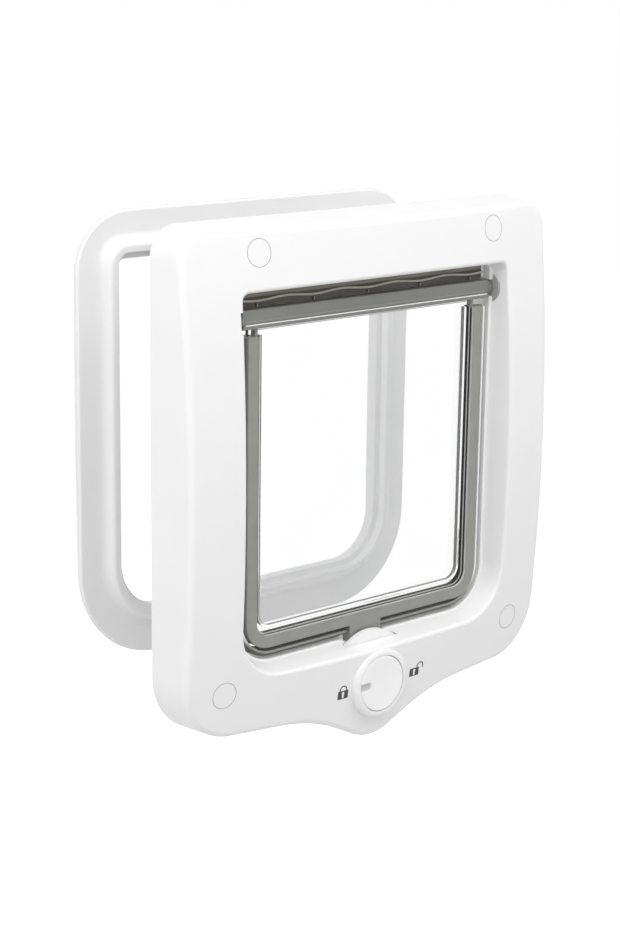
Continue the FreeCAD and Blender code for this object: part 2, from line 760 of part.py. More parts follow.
def draught_strip():
    """Flexible strip over the hinge bar, with a wavy lip that dips at each peg."""
    half = strip_half_width()
    plate = box(-half, half, STRIP_Y, STRIP_Y + STRIP_THICKNESS, strip_bottom(), OPENING_TOP)
    count = int(half * 4 // STRIP_PITCH)
    points = []
    for index in range(-count, count + 1):
        x = index * STRIP_PITCH / 4
        wave = STRIP_WAVE * math.cos(math.pi * index / 2)
        points.append(at(x, STRIP_Y - STRIP_LIP_DEPTH, STRIP_LIP_Z - wave))
    low = Part.BSplineCurve()
    low.interpolate(points)
    low = low.toShape()
    high = low.translated(at(0, 0, STRIP_LIP_HEIGHT))
    lip = Part.makeRuledSurface(low, high).extrude(at(0, STRIP_LIP_DEPTH + STRIP_THICKNESS / 2, 0))
    return plate.fuse(lip).cut(pegs(PEG_GAP, PAST)).removeSplitter()


def header():
    """Wall of the frame behind the draught strip, with the strip's pegs and a lip behind the bar."""
    half = LEDGE_HALF_WIDTH - 2 * LEDGE_STEP + PAST
    y = STRIP_Y + STRIP_THICKNESS
    end = HEADER_LIP_Y + HEADER_LIP_THICKNESS
    wall = box(-half, half, y, end, strip_bottom(), OPENING_TOP + PAST)
    lip = box(-half, half, HEADER_LIP_Y, end, strip_bottom() - HEADER_LIP_DROP, OPENING_TOP)
    return fused([wall, lip] + pegs(0, 0))


def lock_knob():
    """Round knob, dished, with a finger notch at one side and a spindle with two flats."""
    back = recess_floor() - KNOB_GAP
    head = rod(KNOB_R, back - KNOB_FRONT_Y, 0, KNOB_FRONT_Y, KNOB_Z)
    front = [edge for edge in head.Edges if edge.BoundBox.YMax < KNOB_FRONT_Y + NEAR]
    head = head.makeFillet(KNOB_ROUND, front)
    ball_r = (KNOB_DISH_R ** 2 + KNOB_DISH_DEPTH ** 2) / (2 * KNOB_DISH_DEPTH)
    dish = Part.makeSphere(ball_r, at(0, KNOB_FRONT_Y + KNOB_DISH_DEPTH - ball_r, KNOB_Z))
    spindle = rod(SPINDLE_R, disc_back() - back, 0, back, KNOB_Z)
    reach = SPINDLE_R + PAST
    flats = box(-SPINDLE_FLAT, SPINDLE_FLAT, pad_back(), disc_back(), KNOB_Z - reach, KNOB_Z + reach)
    keyed = spindle.common(fused([
        rod(SPINDLE_R, pad_back() - back, 0, back, KNOB_Z), flats,
    ]))
    thread = rod(LOCK_SCREW_R, LOCK_SCREW_LENGTH, 0, washer_back() - LOCK_SCREW_LENGTH, KNOB_Z)
    return head.fuse(keyed).cut([dish, grip_notch(), thread]).removeSplitter()


def grip_notch():
    """Notch for a finger, open at the knob's rim and rounded at its inner end."""
    half = GRIP_WIDTH / 2
    y = KNOB_FRONT_Y - KNOB_ROUND
    floor = KNOB_FRONT_Y + GRIP_DEPTH
    notch = box(-KNOB_R - PAST, -GRIP_START, y, floor, KNOB_Z - half, KNOB_Z + half)
    inner = [
        edge for edge in notch.Edges
        if edge.BoundBox.XMin > -GRIP_START - NEAR or edge.BoundBox.YMin > floor - NEAR
    ]
    inner = [edge for edge in inner if edge.BoundBox.YMax > KNOB_FRONT_Y and edge.BoundBox.XMax > -KNOB_R]
    return notch.makeFillet(GRIP_CORNER, inner)


def pad_back():
    return recess_floor() + KNOB_PAD


def disc_back():
    return DISC_FRONT_Y + DISC_THICKNESS


def washer_back():
    return disc_back() + WASHER_THICKNESS


def lock_disc():
    """Half-moon blade on the spindle that stands before the flap's tab."""
    blade = rod(DISC_R, DISC_THICKNESS, 0, DISC_FRONT_Y, KNOB_Z)
    blade = blade.common(box(-DISC_R, DISC_R, DISC_FRONT_Y, disc_back(), KNOB_Z, KNOB_Z + DISC_R + PAST))
    start = pad_back() + KNOB_GAP
    hub = rod(WASHER_R, disc_back() - start, 0, start, KNOB_Z)
    hole = rod(SPINDLE_R, BEYOND, 0, start - PAST, KNOB_Z).common(
        box(-SPINDLE_FLAT, SPINDLE_FLAT, start - PAST, disc_back() + PAST, KNOB_Z - DISC_R, KNOB_Z + DISC_R)
    )
    return blade.fuse(hub).cut(hole).removeSplitter()


def lock_washer():
    washer = rod(WASHER_R, WASHER_THICKNESS, 0, disc_back(), KNOB_Z)
    return washer.cut(rod(LOCK_SCREW_R, WASHER_THICKNESS, 0, disc_back(), KNOB_Z))


def lock_screw():
    shank = rod(LOCK_SCREW_R, LOCK_SCREW_LENGTH, 0, washer_back() - LOCK_SCREW_LENGTH, KNOB_Z)
    head = rod(LOCK_SCREW_HEAD_R, LOCK_SCREW_HEAD, 0, washer_back(), KNOB_Z)
    rear = [edge for edge in head.Edges if edge.BoundBox.YMin > washer_back() + NEAR]
    head = head.makeFillet(LOCK_SCREW_ROUND, rear)
    top = washer_back() + LOCK_SCREW_HEAD
    half = LOCK_SCREW_SLOT / 2
    drive = box(
        -LOCK_SCREW_HEAD_R, LOCK_SCREW_HEAD_R,
        top - LOCK_SCREW_SLOT_DEPTH, top + PAST, KNOB_Z - half, KNOB_Z + half,
    )
    return shank.fuse(head).cut(drive).removeSplitter()


def screw_cap(x, z):
    """Cap over a fixing screw: a domed plate, flush with the face, on a round skirt."""
    plate_y = face_y(x, z) + CAP_THICKNESS
    body = rod(CAP_R, plate_y + CAP_LENGTH - FRONT_Y, x, FRONT_Y, z).common(dome(0))
    inside = rod(CAP_R - CAP_SKIRT, BEYOND + CAP_LENGTH, x, plate_y, z)
    return body.cut(inside)


def fixing_screw(x, z):
    """Pan head and neck inside the frame, with the thread from the door's face on."""
    head = rod(SCREW_HEAD_R, SCREW_HEAD, x, SCREW_SEAT_Y - SCREW_HEAD, z)
    front = [edge for edge in head.Edges if edge.BoundBox.YMax < SCREW_SEAT_Y - SCREW_HEAD + NEAR]
    head = head.makeFillet(SCREW_HEAD_ROUND, front)
    neck = rod(SCREW_NECK_R, -SCREW_SEAT_Y, x, SCREW_SEAT_Y, z)
    thread_length = SCREW_SEAT_Y + SCREW_LENGTH - SCREW_R
    thread = rod(SCREW_R, thread_length, x, 0, z)
    tip = Part.makeCone(SCREW_R, SCREW_TIP_R, SCREW_R, at(x, thread_length, z), ALONG_Y)
    top = SCREW_SEAT_Y - SCREW_HEAD - PAST
    floor = SCREW_SEAT_Y - DRIVE_FLOOR
    drive = []
    for half_x, half_z in ((DRIVE_LENGTH / 2, DRIVE_WIDTH / 2), (DRIVE_WIDTH / 2, DRIVE_LENGTH / 2)):
        drive.append(box(x - half_x, x + half_x, top, floor, z - half_z, z + half_z))
    return fused([head, neck, thread, tip]).cut(drive)


def rear_frame():
    """Outside frame: a crowned plate with a collar round its opening and a stop lip."""
    plane = DOOR_THICKNESS
    plate = prism(
        rectangle(REAR_HALF_WIDTH, REAR_BOTTOM, REAR_TOP, REAR_BOTTOM_R, REAR_TOP_R, plane),
        REAR_EDGE + REAR_RISE,
    )
    middle = (REAR_TOP + REAR_BOTTOM) / 2
    reach = math.hypot(REAR_HALF_WIDTH, (REAR_TOP - REAR_BOTTOM) / 2)
    crown_r = (reach ** 2 + REAR_RISE ** 2) / (2 * REAR_RISE)
    crown = Part.makeSphere(crown_r, at(0, plane + REAR_EDGE + REAR_RISE - crown_r, middle))
    plate = plate.common(crown)
    rim = [edge for edge in plate.Edges if edge.BoundBox.YMin > plane + REAR_EDGE / 2]
    plate = plate.makeFillet(REAR_EDGE_ROUND, rim)
    near = [edge for edge in plate.Edges if edge.BoundBox.YMax < plane + NEAR]
    plate = plate.makeFillet(REAR_RIM_ROUND, near)
    collar = prism(rear_opening(COLLAR_WALL, plane - COLLAR_HEIGHT), COLLAR_HEIGHT + REAR_EDGE / 2)
    nose = [edge for edge in collar.Edges if edge.BoundBox.YMax < plane - COLLAR_HEIGHT + NEAR]
    collar = collar.makeFillet(COLLAR_ROUND, nose)
    body = plate.fuse(collar).removeSplitter()
    inside = REAR_OPENING_HALF + 2 * COLLAR_WALL
    root = [
        edge for edge in body.Edges
        if edge.BoundBox.YMax - plane < NEAR and plane - edge.BoundBox.YMin < NEAR
        and max(edge.BoundBox.XMax, -edge.BoundBox.XMin) < inside
    ]
    body = body.makeFillet(COLLAR_ROOT_R, root)
    bore = prism(rear_opening(0, plane - BEYOND), BEYOND - LIP_Y)
    way = prism(rear_opening(-LIP_WIDTH, plane - BEYOND), 3 * BEYOND)
    return body.cut([bore, way]).removeSplitter()


def rear_opening(grow, y):
    return rectangle(
        REAR_OPENING_HALF + grow,
        REAR_OPENING_BOTTOM - grow,
        REAR_OPENING_TOP + grow,
        REAR_OPENING_BOTTOM_R + grow,
        REAR_OPENING_TOP_R + grow,
        y,
    )


def frame_with_header():
    return front_frame().fuse(header()).removeSplitter()


def main():
    places = screw_places()
    cap_names = ("cap_lower_left", "cap_lower_right", "cap_upper_left", "cap_upper_right")
    nodes = {
        "front_frame": frame_with_header(),
        "rear_frame": rear_frame(),
        "hinge_bar": hinge_bar(),
        "hinge_pin_left": flipped(hinge_pin()),
        "hinge_pin_right": hinge_pin(),
        "hinge_bearing_left": flipped(bearing()),
        "hinge_bearing_right": bearing(),
        "flap_border": flap_border(),
        "flap_pane": flap_pane(),
        "flap_magnet": flap_magnet(),
        "frame_magnet": frame_magnet(),
        "seal_strip_left": flipped(seal_strip()),
        "seal_strip_right": seal_strip(),
        "draught_strip": draught_strip(),
        "lock_knob": lock_knob(),
        "lock_disc": lock_disc(),
        "lock_washer": lock_washer(),
        "lock_screw": lock_screw(),
        "fixing_screws": Part.makeCompound([fixing_screw(x, z) for x, z in places]),
    }
    for name, (x, z) in zip(cap_names, places):
        nodes[name] = screw_cap(x, z)
    os.makedirs("parts", exist_ok=True)
    for name, shape in nodes.items():
        box_size = shape.BoundBox
        print(
            f"{name}: {len(shape.Solids)} solid, valid {shape.isValid()}, volume {shape.Volume:.1f},"
            f" x {box_size.XMin:.1f} {box_size.XMax:.1f} y {box_size.YMin:.1f} {box_size.YMax:.1f}"
            f" z {box_size.ZMin:.1f} {box_size.ZMax:.1f}"
        )
        shape.exportStep(f"parts/{name}.step")


main()
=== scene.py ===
"""Finishes, fine pieces, printed signs, studio and camera for a hand-locked cat flap."""

import logging
import math
from dataclasses import dataclass, field
from enum import Enum
from functools import cache

import bmesh
import bpy
from bmesh.types import BMesh, BMFace, BMVert
from bpy.types import Material, Node, NodeSocket, NodeTree
from mathutils import Matrix, Vector
from mathutils.bvhtree import BVHTree


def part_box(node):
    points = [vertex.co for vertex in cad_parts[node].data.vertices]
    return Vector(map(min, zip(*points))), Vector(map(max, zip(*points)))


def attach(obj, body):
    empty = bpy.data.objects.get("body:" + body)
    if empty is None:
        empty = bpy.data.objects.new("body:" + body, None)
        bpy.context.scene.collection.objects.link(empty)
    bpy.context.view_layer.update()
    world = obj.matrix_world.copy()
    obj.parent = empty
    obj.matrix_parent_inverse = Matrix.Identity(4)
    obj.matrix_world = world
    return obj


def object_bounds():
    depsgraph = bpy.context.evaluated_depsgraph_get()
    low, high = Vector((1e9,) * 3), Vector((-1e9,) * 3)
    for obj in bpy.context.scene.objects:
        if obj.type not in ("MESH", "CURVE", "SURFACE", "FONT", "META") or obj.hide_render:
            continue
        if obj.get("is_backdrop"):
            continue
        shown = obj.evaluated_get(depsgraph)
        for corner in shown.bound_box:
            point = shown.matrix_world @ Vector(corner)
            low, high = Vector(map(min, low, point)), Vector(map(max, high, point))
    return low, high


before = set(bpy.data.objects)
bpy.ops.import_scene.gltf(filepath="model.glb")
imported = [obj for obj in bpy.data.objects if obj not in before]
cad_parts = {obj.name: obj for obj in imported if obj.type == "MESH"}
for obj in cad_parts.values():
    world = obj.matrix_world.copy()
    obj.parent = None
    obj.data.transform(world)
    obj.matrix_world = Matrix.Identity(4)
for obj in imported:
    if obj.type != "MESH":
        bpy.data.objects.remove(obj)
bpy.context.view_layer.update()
log = logging.getLogger("cat_flap")

MM = 0.001
MERGE = 0.0001 * MM
"""Points of a new piece that lie nearer than this are made one."""
SOFT_PARTS = 5
"""A line's corners are cut back by its thinner side over this."""
SOFT_STEPS = 2
CORNER_STEPS = 10
"""Steps of a line's quarter turn round a corner."""
NOISE_RANGE = (0.3, 0.7)
"""Nearly all of a noise's values lie between these two."""
SMOOTH_GRAIN = 0.006 * MM
SMOOTH_GLOSS = 0.03
WHITE = (1, 1, 1, 1)
SIDES = ("left", "right")
CAP_PLACES = ("upper_left", "upper_right", "lower_left", "lower_right")


class Body(Enum):
    """The rigid bodies that the pieces ride on."""

    FRAME = "frame"
    FLAP = "flap"
    KNOB = "knob"


@dataclass(frozen=True)
class Finish:
    """One surface finish, with a fine grain and a slow drift of tone.

    The tone drifts between two colours over patches of drift_size. The roughness drifts by
    gloss_drift either way, over patches that are gloss_parts times finer. The grain is a bump
    of grain_depth over cells of grain_size. Stretch draws all three out along an axis. A
    finish with a colour_at goes from its shade at shade_at to its colour at colour_at, both
    places along fade_axis, with the drift of tone laid over it by fade_drift. This fade is
    painted shade, for the shade in the knob's notch and at the seal lips' foot.
    """

    name: str
    colour: tuple[float, float, float]
    shade: tuple[float, float, float]
    roughness: float
    specular: float = 0.5
    metallic: float = 0.0
    grain_size: float = 0.4 * MM
    grain_depth: float = 0.02 * MM
    drift_size: float = 30 * MM
    gloss_drift: float = 0.05
    gloss_parts: float = 5.0
    stretch: tuple[float, float, float] = (1.0, 1.0, 1.0)
    transmission: float = 0.0
    ior: float = 1.5
    fade_axis: str = "Z"
    fade_drift: float = 0.15
    shade_at: float = 0.0
    colour_at: float = 0.0

    @cache
    def build(self) -> Material:
        """Makes the material, or gives the one that was made before.

        Returns:
            The node material, ready for a piece's slot.
        """
        material = bpy.data.materials.new(self.name)
        material.use_nodes = True
        tree = material.node_tree
        shader = tree.nodes["Principled BSDF"]
        shader.inputs["Specular IOR Level"].default_value = self.specular
        shader.inputs["Metallic"].default_value = self.metallic
        shader.inputs["Transmission Weight"].default_value = self.transmission
        shader.inputs["IOR"].default_value = self.ior
        place = self._place(tree)
        self._tone(tree, place, shader)
        self._gloss(tree, place, shader)
        self._grain(tree, place, shader)
        return material

    def _place(self, tree: NodeTree) -> Node:
        """Adds object coordinates, drawn out by the finish's stretch.

        Args:
            tree: the material's node tree.

        Returns:
            The mapping node.
        """
        coordinates = tree.nodes.new("ShaderNodeTexCoord")
        mapping = tree.nodes.new("ShaderNodeMapping")
        mapping.inputs["Scale"].default_value = self.stretch
        tree.links.new(coordinates.outputs["Object"], mapping.inputs["Vector"])
        return mapping

    def _noise(self, tree: NodeTree, place: Node, scale: float, detail: float) -> Node:
        """Adds a noise over the surface.

        Args:
            tree: the material's node tree.
            place: the mapping node.
            scale: how many of its patches fit in a metre.
            detail: how many finer layers it has.

        Returns:
            The noise node.
        """
        noise = tree.nodes.new("ShaderNodeTexNoise")
        noise.inputs["Scale"].default_value = scale
        noise.inputs["Detail"].default_value = detail
        tree.links.new(place.outputs["Vector"], noise.inputs["Vector"])
        return noise

    def _tone(self, tree: NodeTree, place: Node, shader: Node) -> None:
        """Lets the colour drift between the finish's two tones, or fade from one to the other as
        painted shade.

        Args:
            tree: the material's node tree.
            place: the mapping node.
            shader: the surface shader.
        """
        noise = self._noise(tree, place, 1 / self.drift_size, detail=3)
        mixed = noise.outputs["Fac"]
        if self.colour_at:
            mixed = self._fade(tree, place, mixed)
        ramp = tree.nodes.new("ShaderNodeValToRGB")
        first, last = ramp.color_ramp.elements
        first.position, last.position = NOISE_RANGE
        first.color = (*self.shade, 1)
        last.color = (*self.colour, 1)
        tree.links.new(mixed, ramp.inputs["Fac"])
        tree.links.new(ramp.outputs["Color"], shader.inputs["Base Color"])

    def _fade(self, tree: NodeTree, place: Node, drift: NodeSocket) -> NodeSocket:
        """Adds the fade of painted shade along an axis, made uneven by the drift of tone.

        Args:
            tree: the material's node tree.
            place: the mapping node.
            drift: the drift's value.

        Returns:
            The value of the two together.
        """
        split = tree.nodes.new("ShaderNodeSeparateXYZ")
        rise = tree.nodes.new("ShaderNodeMapRange")
        rise.inputs["From Min"].default_value = self.shade_at
        rise.inputs["From Max"].default_value = self.colour_at
        uneven = tree.nodes.new("ShaderNodeMath")
        uneven.operation = "MULTIPLY_ADD"
        uneven.inputs[1].default_value = self.fade_drift
        tree.links.new(place.outputs["Vector"], split.inputs["Vector"])
        tree.links.new(split.outputs[self.fade_axis], rise.inputs["Value"])
        tree.links.new(drift, uneven.inputs[0])
        tree.links.new(rise.outputs["Result"], uneven.inputs[2])
        return uneven.outputs[0]

    def _gloss(self, tree: NodeTree, place: Node, shader: Node) -> None:
        """Lets the roughness vary a little, as it does on a moulded surface.

        Args:
            tree: the material's node tree.
            place: the mapping node.
            shader: the surface shader.
        """
        noise = self._noise(tree, place, self.gloss_parts / self.drift_size, detail=4)
        low, high = NOISE_RANGE
        span = tree.nodes.new("ShaderNodeMapRange")
        span.inputs["From Min"].default_value = low
        span.inputs["From Max"].default_value = high
        span.inputs["To Min"].default_value = self.roughness - self.gloss_drift
        span.inputs["To Max"].default_value = self.roughness + self.gloss_drift
        tree.links.new(noise.outputs["Fac"], span.inputs["Value"])
        tree.links.new(span.outputs["Result"], shader.inputs["Roughness"])

    def _grain(self, tree: NodeTree, place: Node, shader: Node) -> None:
        """Adds the fine bump of the mould's surface.

        Args:
            tree: the material's node tree.
            place: the mapping node.
            shader: the surface shader.
        """
        noise = self._noise(tree, place, 1 / self.grain_size, detail=2)
        bump = tree.nodes.new("ShaderNodeBump")
        bump.inputs["Distance"].default_value = self.grain_depth
        bump.inputs["Strength"].default_value = 1.0
        tree.links.new(noise.outputs["Fac"], bump.inputs["Height"])
        tree.links.new(bump.outputs["Normal"], shader.inputs["Normal"])


@dataclass(frozen=True)
class Palette:
    """The finishes of the cat flap."""

    white: Finish = Finish(
        "white_moulding", (0.9, 0.9, 0.9), (0.885, 0.885, 0.885), 0.38,
        grain_depth=SMOOTH_GRAIN, gloss_drift=SMOOTH_GLOSS,
    )
    white_outer: Finish = Finish(
        "white_outer_moulding", (0.88, 0.88, 0.885), (0.865, 0.865, 0.87), 0.42,
        grain_depth=SMOOTH_GRAIN, gloss_drift=SMOOTH_GLOSS,
    )
    white_lock: Finish = Finish(
        "white_lock_moulding", (0.95, 0.95, 0.95), (0.935, 0.935, 0.935), 0.34,
        grain_depth=SMOOTH_GRAIN, gloss_drift=SMOOTH_GLOSS,
    )
    # Painted shade: the knob fades from white at its face, y -29.0 mm, to grey at y -27.4 mm, deep in
    # its notch.
    knob: Finish = Finish(
        "knob_moulding", (0.95, 0.95, 0.95), (0.6, 0.6, 0.6), 0.4,
        grain_depth=SMOOTH_GRAIN, gloss_drift=SMOOTH_GLOSS,
        fade_axis="Y", shade_at=-27.4 * MM, colour_at=-29.0 * MM,
    )
    grey_hinge: Finish = Finish(
        "grey_hinge_moulding", (0.235, 0.24, 0.225), (0.2, 0.203, 0.19), 0.4,
        grain_size=0.5 * MM, drift_size=6 * MM, stretch=(0.08, 1.0, 1.0),
    )
    bearing: Finish = Finish(
        "bearing_moulding", (0.46, 0.46, 0.46), (0.4, 0.4, 0.4), 0.4, drift_size=4 * MM,
    )
    grey_band: Finish = Finish(
        "grey_band_moulding", (0.3, 0.3, 0.28), (0.27, 0.27, 0.25), 0.42, drift_size=9 * MM,
    )
    grey_seal: Finish = Finish(
        "grey_seal", (0.2, 0.2, 0.19), (0.15, 0.15, 0.14), 0.65, specular=0.3,
    )
    dark_strip: Finish = Finish(
        "draught_strip_rubber", (0.13, 0.12, 0.1), (0.09, 0.083, 0.07), 0.6, specular=0.3,
    )
    # Painted light: a lighter olive for a thin sheet over the strip's upper part, which catches the
    # light above the lip.
    strip_painted_light: Finish = Finish(
        "draught_strip_painted_light", (0.33, 0.31, 0.265), (0.25, 0.235, 0.2), 0.8, specular=0.2,
        drift_size=2.5 * MM, stretch=(0.12, 1.0, 1.0),
    )
    # Painted highlight: the strip's lip is coloured lighter than its rubber, for the light that its
    # top catches.
    strip_lip_highlight: Finish = Finish(
        "draught_strip_lip_highlight", (0.44, 0.42, 0.39), (0.36, 0.345, 0.32), 0.6, drift_size=5 * MM,
    )
    # Painted shade: near black, for thin sheets on the band's inner wall, which lies in shade.
    painted_shade: Finish = Finish(
        "pane_painted_shade", (0.035, 0.035, 0.033), (0.022, 0.022, 0.02), 0.5, specular=0.3,
    )
    # Painted highlight: a light grey for thin lines where the flap's edges catch the light.
    painted_highlight: Finish = Finish(
        "painted_highlight", (0.62, 0.62, 0.6), (0.56, 0.56, 0.54), 0.4, drift_size=8 * MM,
    )
    # Painted highlight: near white, for the bright line along the hinge bar's bead.
    bead_painted_highlight: Finish = Finish(
        "bead_painted_highlight", (0.95, 0.95, 0.95), (0.92, 0.92, 0.92), 0.2, drift_size=8 * MM,
    )
    # Painted highlight and shade: the seal lip is white up its sides, where it catches the light, and
    # fades to grey towards its foot, where it lies in shade.
    seal_lip: Finish = Finish(
        "seal_lip", (0.95, 0.95, 0.94), (0.3, 0.3, 0.28), 0.4, drift_size=12 * MM,
        shade_at=11 * MM, colour_at=30 * MM,
    )
    # Painted shade: the grey of the ring round each cap stands for the shade in its gap.
    joint: Finish = Finish(
        "cap_gap_shade", (0.42, 0.42, 0.42), (0.36, 0.36, 0.36), 0.6, drift_size=4 * MM,
    )
    pane: Finish = Finish(
        "clear_pane", (1.0, 1.0, 1.0), (0.99, 0.995, 0.995), 0.02, gloss_drift=0.01,
        grain_depth=0.001 * MM, grain_size=6 * MM, transmission=1.0, ior=1.49,
    )
    print_ink: Finish = Finish(
        "dark_print", (0.055, 0.055, 0.058), (0.045, 0.045, 0.048), 0.5, grain_size=0.2 * MM,
    )
    steel: Finish = Finish(
        "plated_steel", (0.62, 0.62, 0.6), (0.55, 0.55, 0.54), 0.28, metallic=1.0,
    )
    magnet: Finish = Finish(
        "sintered_magnet", (0.09, 0.09, 0.095), (0.06, 0.06, 0.065), 0.45, metallic=0.6,
    )


def dress(node: str, material: Material) -> None:
    """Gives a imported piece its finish.

    Args:
        node: the piece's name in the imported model.
        material: the finish.
    """
    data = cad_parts[node].data
    data.materials.clear()
    data.materials.append(material)
    log.info("dressed %s in %s", node, material.name)


def add_piece(name: str, shape: BMesh, material: Material, body: Body) -> None:
    """Turns a finished shape into a piece at the origin that rides on a body.

    Args:
        name: the piece's name.
        shape: its mesh, in the object's own frame.
        material: its finish.
        body: the body that it rides on.
    """
    bmesh.ops.remove_doubles(shape, verts=shape.verts, dist=MERGE)
    bmesh.ops.recalc_face_normals(shape, faces=shape.faces)
    data = bpy.data.meshes.new(name)
    shape.to_mesh(data)
    shape.free()
    data.materials.append(material)
    piece = bpy.data.objects.new(name, data)
    bpy.context.scene.collection.objects.link(piece)
    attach(piece, body.value)
    log.info("made %s with %d faces", name, len(data.polygons))


def open_joint(shape: BMesh, end: BMFace) -> None:
    """Removes an old end face that the line has gone on past, which gives its edges a third face."""
    if any(len(edge.link_faces) > 2 for edge in end.edges):
        bmesh.ops.delete(shape, geom=[end], context="FACES_ONLY")


def draw_out(shape: BMesh, end: BMFace, move: Vector) -> BMFace:
    """Extrudes the end of a line.

    Args:
        shape: the line's mesh.
        end: its end face.
        move: how far the new end lies from the old one.

    Returns:
        The new end face.
    """
    grown = bmesh.ops.extrude_face_region(shape, geom=[end])["geom"]
    corners = [item for item in grown if isinstance(item, BMVert)]
    bmesh.ops.translate(shape, verts=corners, vec=move)
    open_joint(shape, end)
    return next(item for item in grown if isinstance(item, BMFace))


def turn_end(shape: BMesh, end: BMFace, centre: Vector) -> BMFace:
    """Takes the end of a line a quarter turn round a corner, clockwise as the room sees it.

    Args:
        shape: the line's mesh.
        end: its end face.
        centre: the corner's centre.

    Returns:
        The new end face.
    """
    last = bmesh.ops.spin(
        shape, geom=[end], cent=centre, axis=(0, 1, 0), angle=math.pi / 2, steps=CORNER_STEPS,
        use_merge=False,
    )["geom_last"]
    open_joint(shape, end)
    return next(item for item in last if isinstance(item, BMFace))


def start_line(profile: list[Vector], thinner: float) -> tuple[BMesh, BMFace]:
    """Starts a line from its section, with softened corners.

    Args:
        profile: the section's corners in order.
        thinner: the section's thinner side.

    Returns:
        The new mesh and its only face.
    """
    shape = bmesh.new()
    shape.faces.new([shape.verts.new(corner) for corner in profile])
    bmesh.ops.bevel(
        shape, geom=shape.verts[:], offset=thinner / SOFT_PARTS, affect="VERTICES",
        segments=SOFT_STEPS, profile=0.5, material=-1,
    )
    shape.faces.ensure_lookup_table()
    return shape, shape.faces[0]


@dataclass(frozen=True)
class AcrossLine:
    """A thin moulded line straight across the object, or waved up and down.

    It reaches half to either side of the middle. Wave is how far it rises and falls, which
    repeats at the pitch of the draught strip's pegs.
    """

    half: float
    low: float
    high: float
    front: float
    back: float
    wave: float = 0.0
    pitch: float = 32.6 * MM
    steps: int = 1

    def rise(self, x: float) -> float:
        """Height of the wave at a place across, which is lowest at each peg."""
        return -self.wave * math.cos(2 * math.pi * x / self.pitch)

    def build(self) -> BMesh:
        """Makes the line.

        Returns:
            Its mesh.
        """
        base = self.rise(-self.half)
        places = (
            (self.front, self.low), (self.front, self.high),
            (self.back, self.high), (self.back, self.low),
        )
        profile = [Vector((-self.half, y, z + base)) for y, z in places]
        shape, end = start_line(profile, min(self.high - self.low, self.back - self.front))
        length = 2 * self.half / self.steps
        for index in range(self.steps):
            x = -self.half + length * index
            end = draw_out(shape, end, Vector((length, 0, self.rise(x + length) - self.rise(x))))
        return shape

    def repeated(self, places: tuple[float, ...]) -> BMesh:
        """Makes the line at several places across.

        Args:
            places: where the middle of each one lies.

        Returns:
            One mesh with all of them.
        """
        shape = bmesh.new()
        store = bpy.data.meshes.new("line_store")
        for x in places:
            single = self.build()
            bmesh.ops.translate(single, verts=single.verts, vec=(x, 0, 0))
            single.to_mesh(store)
            single.free()
            shape.from_mesh(store)
        bpy.data.meshes.remove(store)
        return shape


@dataclass(frozen=True)
class RoundLine:
    """A thin moulded line down one side, round the corner and along the foot, or right round.

    Half and bottom are its outer edge's places across and at the foot, and corner is that
    edge's radius. It starts at the top on the right. With a gap it ends that far from the
    middle, and without one it goes up the left side again.
    """

    half: float
    bottom: float
    corner: float
    top: float
    thickness: float
    front: float
    back: float
    gap: float = 0.0

    def build(self) -> BMesh:
        """Makes the line.

        Returns:
            Its mesh.
        """
        inside = self.half - self.thickness
        places = (
            (self.half, self.front), (inside, self.front),
            (inside, self.back), (self.half, self.back),
        )
        profile = [Vector((x, y, self.top)) for x, y in places]
        shape, end = start_line(profile, min(self.thickness, self.back - self.front))
        level = self.bottom + self.corner
        across = self.half - self.corner
        end = draw_out(shape, end, Vector((0, 0, level - self.top)))
        end = turn_end(shape, end, Vector((across, 0, level)))
        if self.gap:
            draw_out(shape, end, Vector((self.gap - across, 0, 0)))
            return shape
        end = draw_out(shape, end, Vector((-2 * across, 0, 0)))
        end = turn_end(shape, end, Vector((-across, 0, level)))
        draw_out(shape, end, Vector((0, 0, self.top - level)))
        return shape


@dataclass
class FaceSurface:
    """The inside frame's face, for what lies on it."""

    node: str = "front_frame"
    reach: float = 200 * MM
    tree: BVHTree = field(init=False)

    def __post_init__(self) -> None:
        """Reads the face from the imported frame."""
        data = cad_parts[self.node].data
        points = [vertex.co for vertex in data.vertices]
        self.tree = BVHTree.FromPolygons(points, [tuple(face.vertices) for face in data.polygons])

    def depth(self, x: float, z: float) -> float:
        """Depth of the first surface that the room sees at a place across and up."""
        hit = self.tree.ray_cast(Vector((x, -self.reach, z)), Vector((0, 1, 0)))[0]
        return hit.y if hit else 0.0


class SignState(Enum):
    """The two padlock signs."""

    LOCKED = "locked"
    OPEN = "open"


